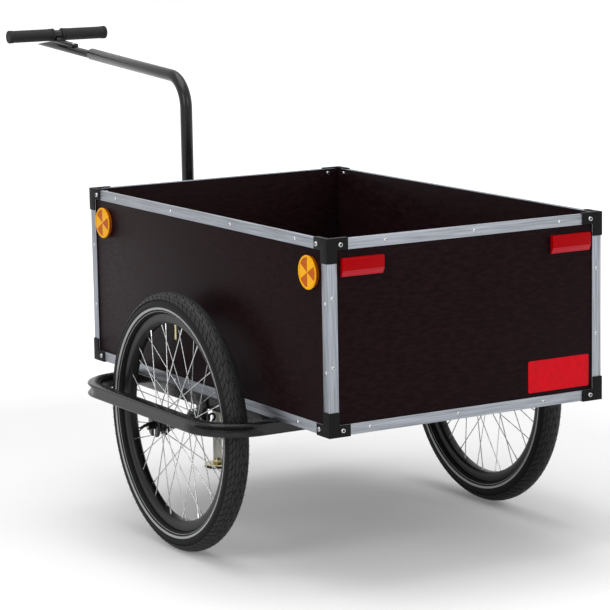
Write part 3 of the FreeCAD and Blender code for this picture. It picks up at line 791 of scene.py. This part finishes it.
def make_rim(side):
    """Rim with a well, hooked lips and a flat inner face."""
    node = "rim_" + side
    low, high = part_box(node)
    lip = (high.z - low.z) / 2
    half = (high.y - low.y) / 2
    seat = lip - RIM_SEAT_DROP
    base = seat - RIM_DEPTH
    outline = [(seat - 5 * MM, 4 * MM), (seat, 7.5 * MM), (seat, half - 2 * MM), (lip - 1 * MM, half - 2 * MM),
               (lip, half - 1.4 * MM), (lip - 0.4 * MM, half - 0.2 * MM), (lip - 2 * MM, half),
               (seat - 2 * MM, half - 0.3 * MM), (seat - 4 * MM, half - 0.6 * MM), (base + 5 * MM, half - 1 * MM),
               (base + 1.5 * MM, 8.5 * MM), (base, 6 * MM)]
    other = [(r, -y) for r, y in reversed(outline)]
    turned_piece("shaped_" + node, outline + other, centre(node), (0, 1, 0), TYRE_STEPS, "anodised",
                 BODY_OF_SIDE[side], [node])


SPOKES_PER_FLANGE = 18
SPOKE_CROSS = math.radians(60)
HOLE_IN = 3 * MM          # spoke hole inside the flange's edge
FLANGE_Y = 31 * MM
ELBOW_OUT = 3.6 * MM
ELBOW_IN = 2.6 * MM
RIM_HOLE_Y = 4 * MM
NIPPLE_LENGTH = 12 * MM
NIPPLE_FLARE = 4 * MM


def spoke_ends(side):
    """(hub end, rim end, outside, flange's direction) of every spoke, as the frame's spokes run."""
    hub_low, hub_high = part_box("hub_" + side)
    rim_low, rim_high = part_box("rim_" + side)
    middle = centre("rim_" + side)
    rim_r = (rim_high.z - rim_low.z) / 2 - RIM_SEAT_DROP - RIM_DEPTH - 0.3 * MM
    hole_r = (hub_high.z - hub_low.z) / 2 - HOLE_IN
    pitch = math.tau / SPOKES_PER_FLANGE
    ends = []
    for flange, shift in ((SIDES[side], 0.0), (-SIDES[side], pitch / 2)):
        for number in range(SPOKES_PER_FLANGE):
            outside = number % 2 == 0
            hole = number * pitch + shift
            rim_angle = hole + (SPOKE_CROSS if outside else -SPOKE_CROSS)
            y = flange * (FLANGE_Y + (ELBOW_OUT if outside else -ELBOW_IN))
            start = middle + Vector((hole_r * math.cos(hole), y, hole_r * math.sin(hole)))
            end = middle + Vector((rim_r * math.cos(rim_angle), flange * RIM_HOLE_Y, rim_r * math.sin(rim_angle)))
            ends.append((start, end, outside, flange))
    return ends


def make_nipples(side):
    """Spoke nipples at the rim and the formed heads at the hub."""
    bm = bmesh.new()
    for start, end, outside, flange in spoke_ends(side):
        along = (end - start).normalized()
        flare = end - along * NIPPLE_FLARE
        add_rod(bm, end - along * NIPPLE_LENGTH, flare, 1.2 * MM, 1.5 * MM, segments=8)
        add_rod(bm, flare, end, 1.5 * MM, 1.7 * MM, segments=8)
        through = Vector((0, -flange if outside else flange, 0))
        add_rod(bm, start, start + through * 6.2 * MM, 1.0 * MM, segments=6)
        add_rod(bm, start + through * 5.6 * MM, start + through * 6.6 * MM, 1.9 * MM, 1.6 * MM, segments=8)
    new_piece("nipples_" + side, bm, ["wire"], BODY_OF_SIDE[side])


def make_valve(side):
    """Bicycle valve through the rim: plated stem, knurled nut and cap."""
    low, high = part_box("rim_" + side)
    base = (high.z - low.z) / 2 - RIM_SEAT_DROP - RIM_DEPTH
    outline = [(0, 0), (3.6, 0), (3.6, -3), (2.7, -3.2), (2.7, -20), (3.1, -20.4), (3.1, -29), (1.6, -31),
               (0, -31)]
    bm = bmesh.new()
    add_turned(bm, [(r * MM, h * MM) for r, h in outline], (low + high) / 2 + Vector((0, 0, base)), (0, 0, 1),
               16)
    bmesh.ops.recalc_face_normals(bm, faces=bm.faces)
    new_piece("valve_" + side, bm, ["yellow_zinc"], BODY_OF_SIDE[side])


def make_hub(side):
    bm = merged_copy("hub_" + side)
    soften(bm, 0.6 * MM, corner_deg=40)
    new_piece("turned_hub_" + side, bm, ["anodised"], BODY_OF_SIDE[side], ["hub_" + side])


def make_wheel(side):
    make_tyre(side)
    make_rim(side)
    make_hub(side)
    make_nipples(side)
    make_valve(side)
    dress("spokes_" + side, "wire")


def dress(node, finish_name):
    """Gives a CAD node that stays in place its finish."""
    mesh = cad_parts[node].data
    mesh.materials.clear()
    mesh.materials.append(finish(finish_name))


# Chassis

GUARD_BEND_RADIUS = 90 * MM
BEND_STEPS = 22
HANDLE_SLOPE = math.radians(3.7)


GUARD_CORNER = 3.2 * MM
STRAIGHT_BEFORE_BEND = 12 * MM
STRAIGHT_AFTER_BEND = 14 * MM
DENT_RISE = 2.6           # how fast the dent deepens into a bend
DENT_HEIGHT = 0.62        # share of the tube's height over which the wall sinks


def guard_outline(wide, high, dent):
    """Rounded rectangle section, (sideways, up), whose outer wall sinks in by the dent."""
    half_w, half_h = wide / 2, high / 2
    in_w, in_h = half_w - GUARD_CORNER, half_h - GUARD_CORNER
    points = []
    for cx, cz, turn in ((in_w, in_h, 0), (-in_w, in_h, 90), (-in_w, -in_h, 180), (in_w, -in_h, 270)):
        for step in range(4):
            angle = math.radians(turn + step * 30)
            points.append((cx + GUARD_CORNER * math.cos(angle), cz + GUARD_CORNER * math.sin(angle)))
    for up in (-0.55, -0.3, 0.0, 0.3, 0.55):
        sink = dent * math.cos(up * math.pi / 1.3) ** 2
        points.append((half_w - sink, up * high * DENT_HEIGHT))
    return points


def guard_stations(side):
    """(centre, outward direction, dent share) along a guard, from its front arm's end to its rear arm's."""
    low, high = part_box("guard_rail_" + side)
    inner_low, inner_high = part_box("inner_rail_left")
    tube = inner_high.y - inner_low.y
    middle = (low + high) / 2
    half = (high.x - low.x) / 2 - tube / 2
    sign = SIDES[side]
    rail_y = (high.y if sign > 0 else -low.y) - tube / 2
    rear_y = low.y if sign > 0 else -high.y
    bend = GUARD_BEND_RADIUS
    stations = []

    def station(x, y, angle, dent=0.0):
        stations.append((Vector((middle.x + x, sign * y, middle.z)),
                         Vector((math.cos(angle), sign * math.sin(angle), 0)), dent))

    def bend_stations(end, first_angle):
        for step in range(BEND_STEPS + 1):
            share = step / BEND_STEPS
            angle = first_angle + math.pi / 2 * share
            station(end * (half - bend) + bend * math.cos(angle), rail_y - bend + bend * math.sin(angle), angle,
                    min(1.0, DENT_RISE * math.sin(math.pi * share)))

    before_bend = rail_y - bend - STRAIGHT_BEFORE_BEND
    for y in (inner_low.y, before_bend):
        station(half, y, 0)
    bend_stations(1, 0)
    for share in (1, 0, -1):
        station(share * (half - bend - STRAIGHT_AFTER_BEND), rail_y, math.pi / 2)
    bend_stations(-1, math.pi / 2)
    for y in (before_bend, rear_y):
        station(-half, y, math.pi)
    return stations, tube, high.z - low.z


def make_guard(side):
    """Wheel guard of rectangular tube whose outer wall has sunk between two lips in the bends."""
    stations, wide, high = guard_stations(side)
    bm = bmesh.new()
    rings = []
    for where, outward, dent in stations:
        outline = guard_outline(wide, high, dent * sizes().dent_depth)
        rings.append([bm.verts.new(where + outward * across + Vector((0, 0, up))) for across, up in outline])
    for first, second in zip(rings, rings[1:]):
        join_rings(bm, first, second)
    bm.faces.new(rings[0])
    bm.faces.new(rings[-1][::-1])
    bmesh.ops.recalc_face_normals(bm, faces=bm.faces)
    new_piece("formed_guard_" + side, bm, ["enamel"], "chassis", ["guard_rail_" + side], 40.0)


ROUND_TUBE_SOFTNESS = 0.3 * MM


def make_chassis_tubes():
    for node in ("cross_tube_front", "cross_tube_rear", "inner_rail_left", "inner_rail_right",
                 "dropouts_left", "dropouts_right", "drawbar_saddles", "stand_clamp", "drawbar_collar",
                 "handle_stem"):
        finished_copy(node, ["enamel"], "black_enamel", "chassis", sizes().edge_softness)
    for node in ("drawbar_lower", "drawbar_upper", "coupling_tube", "handle_bar"):
        finished_copy(node, ["enamel"], "black_enamel", "chassis", ROUND_TUBE_SOFTNESS)


HOOK_RADIUS = 7 * MM
NUT_RADIUS = 8 * MM
EYE_RADIUS = 3.2
EYE_WIRE = 1.3


def make_axle_ends(side):
    """Axle, its inner nut with a hook, and the outer cam with a curved lever that ends in an eye."""
    dress("axle_" + side, "zinc")
    low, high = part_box("quick_release_" + side)
    sign = SIDES[side]
    axle = centre("axle_" + side)
    tip_y = high.y if sign > 0 else -low.y
    inner_end = low.y if sign > 0 else -high.y
    inner_face, outer_face = (corner.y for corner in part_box("dropouts_left"))
    bm = bmesh.new()

    def at(x_mm, y, z_mm):
        return Vector((axle.x + x_mm * MM, sign * y, axle.z + z_mm * MM))

    add_rod(bm, at(0, inner_face, 0), at(0, inner_end, 0), NUT_RADIUS, segments=6)
    add_rod(bm, at(0, outer_face, 0), at(0, outer_face + 2 * MM, 0), NUT_RADIUS, segments=24)
    add_rod(bm, at(0, outer_face + 2 * MM, 0), at(0, outer_face + 12 * MM, 0), 6.5 * MM, 7.5 * MM, segments=20)
    lever = [at(0, outer_face + 10 * MM, 3), at(0, outer_face + 17 * MM, 2), at(0, outer_face + 24 * MM, -1),
             at(0, tip_y - 7 * MM, -3.5)]
    add_bent_rod(bm, lever, 3.2 * MM, 2.6 * MM)
    hook_y = inner_end - 7 * MM
    hook_angles = [math.radians(degrees) for degrees in range(0, 300, 30)]
    hook = [at(0, hook_y + HOOK_RADIUS * math.cos(angle), HOOK_RADIUS / MM * math.sin(angle))
            for angle in hook_angles]
    add_bent_rod(bm, hook, 2.2 * MM, segments=8)
    bmesh.ops.recalc_face_normals(bm, faces=bm.faces)
    turns = [math.tau * step / 8 for step in range(8)]
    outline = [(EYE_RADIUS + EYE_WIRE * math.cos(turn), EYE_WIRE * math.sin(turn)) for turn in turns]
    add_turned(bm, [(r * MM, h * MM) for r, h in outline], at(0, tip_y - 4.6 * MM, -4), (1, 0, 0), 20,
               closed=True)
    bmesh.ops.recalc_face_normals(bm, faces=bm.faces)
    new_piece("axle_lever_" + side, bm, ["nylon"], "chassis", ["quick_release_" + side])


BOLT_RADIUS = 4.5 * MM
SADDLE_BOLT_Y = 24 * MM


def make_bolts():
    """Bolt heads on the saddles, the collar, and the strap on the coupling's thin tube."""
    low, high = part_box("drawbar_saddles")
    places = [(Vector((x, y, high.z - 4 * MM)), (0, 0, -1))
              for x in (low.x + 10 * MM, high.x - 10 * MM) for y in (-SADDLE_BOLT_Y, SADDLE_BOLT_Y)]
    low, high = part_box("drawbar_collar")
    for z in (low.z + 15 * MM, high.z - 15 * MM):
        places.append((Vector(((low.x + high.x) / 2, high.y, z)), (0, 1, 0)))
    stem_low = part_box("handle_stem")[0]
    bolt = Vector((stem_low.x + 9 * MM, 0, stem_low.z + 7 * MM))
    places.append((bolt, (-math.sin(HANDLE_SLOPE), 0, math.cos(HANDLE_SLOPE))))
    fasteners("bolt_heads", places, SCREW_HEAD, BOLT_RADIUS)


# Handle

def make_grip(side):
    """Rubber grip: fine ribs between smooth end bands, closed at its outer end."""
    node = "grip_" + side
    low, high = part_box(node)
    sign = SIDES[side]
    middle = (low + high) / 2
    radius = (high.z - low.z) / 2
    length = high.y - low.y
    start = Vector((middle.x, low.y if sign > 0 else high.y, middle.z))
    bore = (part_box("handle_bar")[1].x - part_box("handle_bar")[0].x) / 2
    body_r = radius - 0.8 * MM
    outline = [(bore, 0.2 * MM), (radius - 1.5 * MM, 0.0), (radius - 0.3 * MM, 1.0 * MM), (radius, 2.5 * MM),
               (radius, 6 * MM), (radius - 1.4 * MM, 7 * MM), (radius - 1.4 * MM, 8.5 * MM),
               (radius - 0.3 * MM, 9.5 * MM), (radius - 0.3 * MM, 12 * MM)]
    pitch = sizes().rib_pitch
    ribs = int((length - 30 * MM) / pitch)
    for rib in range(ribs):
        y = 14 * MM + rib * pitch
        outline += [(body_r - 0.35 * MM, y), (body_r, y + 0.35 * pitch), (body_r, y + 0.65 * pitch)]
    end = length
    outline += [(body_r - 0.4 * MM, end - 14 * MM), (radius - 0.2 * MM, end - 12 * MM),
                (radius - 0.2 * MM, end - 10 * MM), (radius - 1.3 * MM, end - 9 * MM),
                (radius - 1.3 * MM, end - 7.5 * MM), (radius, end - 6.5 * MM), (radius, end - 2.5 * MM),
                (radius - 0.8 * MM, end - 0.8 * MM), (radius - 2.5 * MM, end), (radius * 0.5, end - 0.4 * MM),
                (0, end - 0.4 * MM)]
    outline += [(0, end - 4 * MM), (bore, end - 4 * MM)]
    bm = bmesh.new()
    add_turned(bm, outline, start, (0, sign, 0), 40, closed=True)
    bmesh.ops.recalc_face_normals(bm, faces=bm.faces)
    new_piece("ribbed_" + node, bm, ["grip"], "chassis", [node], 50.0)


# Prop stand

def make_stand():
    """Leg, rubber pad, foot disc and the nut on top of the disc."""
    finished_copy("stand_leg", ["zinc"], "zinc_plated_steel", "stand", ROUND_TUBE_SOFTNESS)
    finished_copy("stand_pad", ["grip"], "grip_rubber", "stand", 1.2 * MM)
    low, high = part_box("stand_foot")
    middle = Vector(((low.x + high.x) / 2, (low.y + high.y) / 2, low.z))
    edge = (high.x - low.x) / 2 / MM
    top = 3.6
    outline = [(0, 0), (edge - 0.6, 0), (edge, 0.6), (edge, 1.9), (edge - 0.8, 2.5), (17, 2.5), (15, top),
               (0, top)]
    turned_piece("stand_foot_disc", [(r * MM, h * MM) for r, h in outline], middle, (0, 0, 1), 48, "yellow_zinc",
                 "stand", ["stand_foot"])
    bm = bmesh.new()
    add_rod(bm, middle + Vector((0, 0, top * MM)), middle + Vector((0, 0, high.z - low.z)), 13 * MM, 12 * MM, 6)
    soften(bm, 0.8 * MM, corner_deg=40)
    new_piece("stand_foot_nut", bm, ["yellow_zinc"], "stand")


# Stage

CAMERA_FROM_AXLE = Vector((-4.3431, 2.6431, 1.3028))
CAMERA_YAW = math.radians(-30.6575)
CAMERA_PITCH = math.radians(9.6163)
CAMERA_ROLL = math.radians(1.0048)
LENS_MM = 154.7


def make_camera():
    data = bpy.data.cameras.new("camera")
    data.lens = LENS_MM
    data.sensor_width = 36
    data.clip_end = 100
    camera = bpy.data.objects.new("camera", data)
    bpy.context.scene.collection.objects.link(camera)
    axle = centre("axle_left")
    aim = (Matrix.Rotation(CAMERA_YAW - math.pi / 2, 4, "Z") @ Matrix.Rotation(math.pi / 2 - CAMERA_PITCH, 4, "X")
           @ Matrix.Rotation(-CAMERA_ROLL, 4, "Z"))
    camera.matrix_world = Matrix.Translation(CAMERA_FROM_AXLE + Vector((axle.x, 0, 0))) @ aim
    bpy.context.scene.camera = camera


def seen_directly(tree):
    """1 for camera, mirror and glass rays, 0 for the rays that light the object."""
    path = add(tree, "ShaderNodeLightPath")
    glossy = add(tree, "ShaderNodeMath", None,
                 {0: path.outputs["Is Camera Ray"], 1: path.outputs["Is Glossy Ray"]}, operation="MAXIMUM")
    return add(tree, "ShaderNodeMath", None, {0: glossy.outputs[0], 1: path.outputs["Is Transmission Ray"]},
               operation="MAXIMUM").outputs[0]


FLOOR_HALF = 15.0
GLOW_FROM, GLOW_TO = 0.9, 2.6         # metres from the middle over which the floor's own glow rises
GLOW_LEAST, GLOW_MOST = 0.12, 0.75


def make_floor():
    """Pale floor that keeps the object's shadow and fades to white further out."""
    bm = bmesh.new()
    bmesh.ops.create_grid(bm, x_segments=1, y_segments=1, size=FLOOR_HALF)
    mesh = template_mesh("floor", bm)
    floor = bpy.data.objects.new("floor", mesh)
    bpy.context.scene.collection.objects.link(floor)
    material = bpy.data.materials.new("pale studio floor")
    material.use_nodes = True
    tree = material.node_tree
    tree.nodes.clear()
    matt = add(tree, "ShaderNodeBsdfDiffuse", {"Color": linear("#e8e8e8")})
    distance = add(tree, "ShaderNodeVectorMath", None, {0: add(tree, "ShaderNodeTexCoord").outputs["Object"]},
                   operation="LENGTH")
    rise = add(tree, "ShaderNodeMapRange", {"From Min": GLOW_FROM, "From Max": GLOW_TO, "To Min": GLOW_LEAST,
                                            "To Max": GLOW_MOST}, {"Value": distance.outputs["Value"]})
    strength = add(tree, "ShaderNodeMath", None, {0: seen_directly(tree), 1: rise.outputs["Result"]},
                   operation="MULTIPLY")
    glow = add(tree, "ShaderNodeEmission", {"Color": (1, 1, 1, 1)}, {"Strength": strength.outputs[0]})
    both = add(tree, "ShaderNodeAddShader", None, {0: matt.outputs[0], 1: glow.outputs[0]})
    add(tree, "ShaderNodeOutputMaterial", None, {"Surface": both.outputs[0]})
    mesh.materials.append(material)


WORLD_LIGHT = 0.55


def make_world():
    world = bpy.data.worlds.new("studio")
    world.use_nodes = True
    tree = world.node_tree
    tree.nodes.clear()
    strength = add(tree, "ShaderNodeMapRange", {"To Min": WORLD_LIGHT, "To Max": 1.0},
                   {"Value": seen_directly(tree)})
    light = add(tree, "ShaderNodeBackground", {"Color": (1, 1, 1, 1)}, {"Strength": strength.outputs["Result"]})
    add(tree, "ShaderNodeOutputWorld", None, {"Surface": light.outputs[0]})
    bpy.context.scene.world = world


def add_softbox(name, place, target, width, height, watts):
    """Rectangular lamp at a place, aimed at the target."""
    data = bpy.data.lights.new(name, "AREA")
    data.shape = "RECTANGLE"
    data.size = width
    data.size_y = height
    data.energy = watts
    lamp = bpy.data.objects.new(name, data)
    bpy.context.scene.collection.objects.link(lamp)
    aim = (target - place).to_track_quat("-Z", "Y").to_matrix().to_4x4()
    lamp.matrix_world = Matrix.Translation(place) @ aim


SOFTBOXES = (("overhead softbox", (0.3, 0.2, 3.0), 3.2, 2.4, 70), ("left softbox", (-1.2, 3.2, 1.6), 1.6, 1.6, 30),
             ("rear softbox", (-3.4, -1.2, 1.8), 1.6, 1.6, 26))


def make_lights():
    low, high = box_faces()
    middle = Vector(((low.x + high.x) / 2, 0, 0.4))
    for name, offset, width, height, watts in SOFTBOXES:
        add_softbox(name, middle + Vector(offset), middle, width, height, watts)


# Operators

def make_both(builder):
    for side in SIDES:
        builder(side)


class TRAILER_OT_panels(bpy.types.Operator):
    """Finish the plywood panels of the box"""
    bl_idname = "trailer.panels"
    bl_label = "Plywood panels"

    def execute(self, context):
        make_panels()
        return {"FINISHED"}


class TRAILER_OT_edging(bpy.types.Operator):
    """Finish the aluminium rails and posts, with their rivets"""
    bl_idname = "trailer.edging"
    bl_label = "Aluminium edging"

    def execute(self, context):
        make_edging()
        make_rivets()
        return {"FINISHED"}


class TRAILER_OT_corner_caps(bpy.types.Operator):
    """Finish the corner caps, with their screws"""
    bl_idname = "trailer.corner_caps"
    bl_label = "Corner caps"

    def execute(self, context):
        make_corner_caps()
        make_cap_screws()
        return {"FINISHED"}


class TRAILER_OT_reflectors(bpy.types.Operator):
    """Build the amber and red reflectors and the plain label"""
    bl_idname = "trailer.reflectors"
    bl_label = "Reflectors and label"

    def execute(self, context):
        make_side_reflectors()
        make_rear_reflectors()
        make_label()
        return {"FINISHED"}


class TRAILER_OT_wheels(bpy.types.Operator):
    """Build both wheels: tyre, tread, rim, nipples, valve and hub"""
    bl_idname = "trailer.wheels"
    bl_label = "Wheels"

    def execute(self, context):
        make_both(make_wheel)
        return {"FINISHED"}


class TRAILER_OT_chassis(bpy.types.Operator):
    """Build the wheel guards, the chassis tubes, the axle ends and the bolts"""
    bl_idname = "trailer.chassis"
    bl_label = "Chassis and drawbar"

    def execute(self, context):
        make_both(make_guard)
        make_chassis_tubes()
        make_both(make_axle_ends)
        make_bolts()
        return {"FINISHED"}


class TRAILER_OT_grips(bpy.types.Operator):
    """Build the ribbed grips of the pull handle"""
    bl_idname = "trailer.grips"
    bl_label = "Grips"

    def execute(self, context):
        make_both(make_grip)
        return {"FINISHED"}


class TRAILER_OT_stand(bpy.types.Operator):
    """Build the prop stand's leg, foot and pad"""
    bl_idname = "trailer.stand"
    bl_label = "Prop stand"

    def execute(self, context):
        make_stand()
        return {"FINISHED"}


class TRAILER_OT_stage(bpy.types.Operator):
    """Set the floor, the light and the camera"""
    bl_idname = "trailer.stage"
    bl_label = "Stage"

    def execute(self, context):
        bpy.context.scene.view_settings.view_transform = "Standard"
        make_camera()
        make_floor()
        make_world()
        make_lights()
        return {"FINISHED"}


OPERATORS = [TRAILER_OT_panels, TRAILER_OT_edging, TRAILER_OT_corner_caps, TRAILER_OT_reflectors,
             TRAILER_OT_wheels, TRAILER_OT_chassis, TRAILER_OT_grips, TRAILER_OT_stand, TRAILER_OT_stage]


class TRAILER_PT_parts(bpy.types.Panel):
    """Lists the trailer's builders with their colours and sizes"""
    bl_idname = "TRAILER_PT_parts"
    bl_label = "Cargo trailer"
    bl_space_type = "VIEW_3D"
    bl_region_type = "UI"
    bl_category = "Trailer"

    def draw(self, context):
        for group in (context.scene.trailer_colours, context.scene.trailer_sizes):
            for name in group.__annotations__:
                self.layout.prop(group, name)
        for operator in OPERATORS:
            self.layout.operator(operator.bl_idname)


CLASSES = [TrailerColours, TrailerSizes, *OPERATORS, TRAILER_PT_parts]


def register():
    for cls in CLASSES:
        bpy.utils.register_class(cls)
    bpy.types.Scene.trailer_colours = bpy.props.PointerProperty(type=TrailerColours)
    bpy.types.Scene.trailer_sizes = bpy.props.PointerProperty(type=TrailerSizes)


def unregister():
    del bpy.types.Scene.trailer_sizes
    del bpy.types.Scene.trailer_colours
    for cls in reversed(CLASSES):
        bpy.utils.unregister_class(cls)


def main():
    register()
    for operator in OPERATORS:
        group, name = operator.bl_idname.split(".")
        getattr(getattr(bpy.ops, group), name)()


if __name__ == "__main__":
    main()
